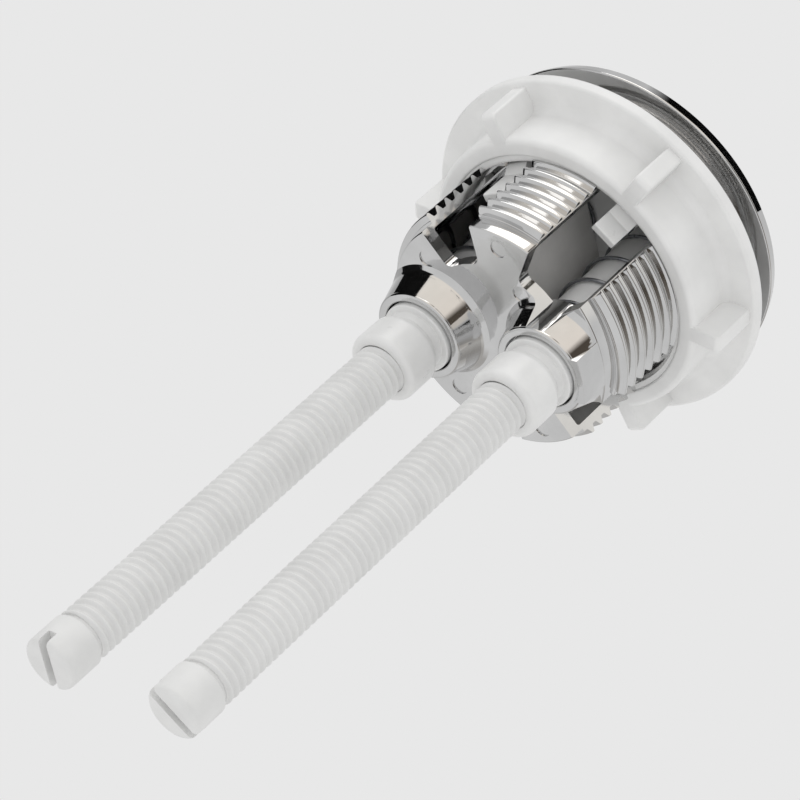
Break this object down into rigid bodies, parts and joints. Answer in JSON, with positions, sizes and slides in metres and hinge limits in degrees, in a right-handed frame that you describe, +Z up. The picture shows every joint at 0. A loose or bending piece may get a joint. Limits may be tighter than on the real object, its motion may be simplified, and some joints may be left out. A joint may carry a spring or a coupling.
{
  "type": "dual flush push button",
  "caption": "Round chrome dual-flush push button for a cistern lid, with a threaded barrel, white clamping nut, sprung plungers and long threaded push rods that are set to reach a flush valve.",
  "frame": {"origin": "on the barrel's axis, in the plane where the bezel sits on the cistern lid", "axes": "+Z up out of the lid, +X from the full-flush rod to the half-flush rod, +Y completes the right-handed frame"},
  "size_m": [0.0626, 0.0626, 0.1347],
  "materials": {
    "chrome_plating": "bright chrome plating on ABS",
    "white_nut": "smooth moulded white polypropylene",
    "white_stem": "smooth moulded white acetal",
    "white_rod": "satin white nylon",
    "spring_wire": "drawn stainless spring wire"
  },
  "bodies": {
    "housing": {"housing": "chrome_plating", "full_spring": "spring_wire", "half_spring": "spring_wire"},
    "lock_nut": {"lock_nut": "white_nut"},
    "full_button": {"full_button": "chrome_plating", "full_plunger": "white_stem"},
    "half_button": {"half_button": "chrome_plating", "half_plunger": "white_stem"},
    "full_rod": {"full_rod": "white_rod"},
    "half_rod": {"half_rod": "white_rod"}
  },
  "joints": [
    {"name": "full_press", "type": "slide", "parent": "housing", "child": "full_button", "axis": [0, 0, -1], "range_m": [0, 0.008], "stiffness_N_per_m": 250, "springref_m": -0.01, "deforming": ["full_spring"]},
    {"name": "half_press", "type": "slide", "parent": "housing", "child": "half_button", "axis": [0, 0, -1], "range_m": [0, 0.008], "stiffness_N_per_m": 250, "springref_m": -0.01, "deforming": ["half_spring"]},
    {"name": "nut_travel", "type": "slide", "parent": "housing", "child": "lock_nut", "axis": [0, 0, 1], "range_m": [-0.0192, 0.0048]},
    {"name": "full_rod_set", "type": "slide", "parent": "full_button", "child": "full_rod", "axis": [0, 0, 1], "range_m": [-0.02, 0.015]},
    {"name": "half_rod_set", "type": "slide", "parent": "half_button", "child": "half_rod", "axis": [0, 0, 1], "range_m": [-0.02, 0.015]}
  ]
}
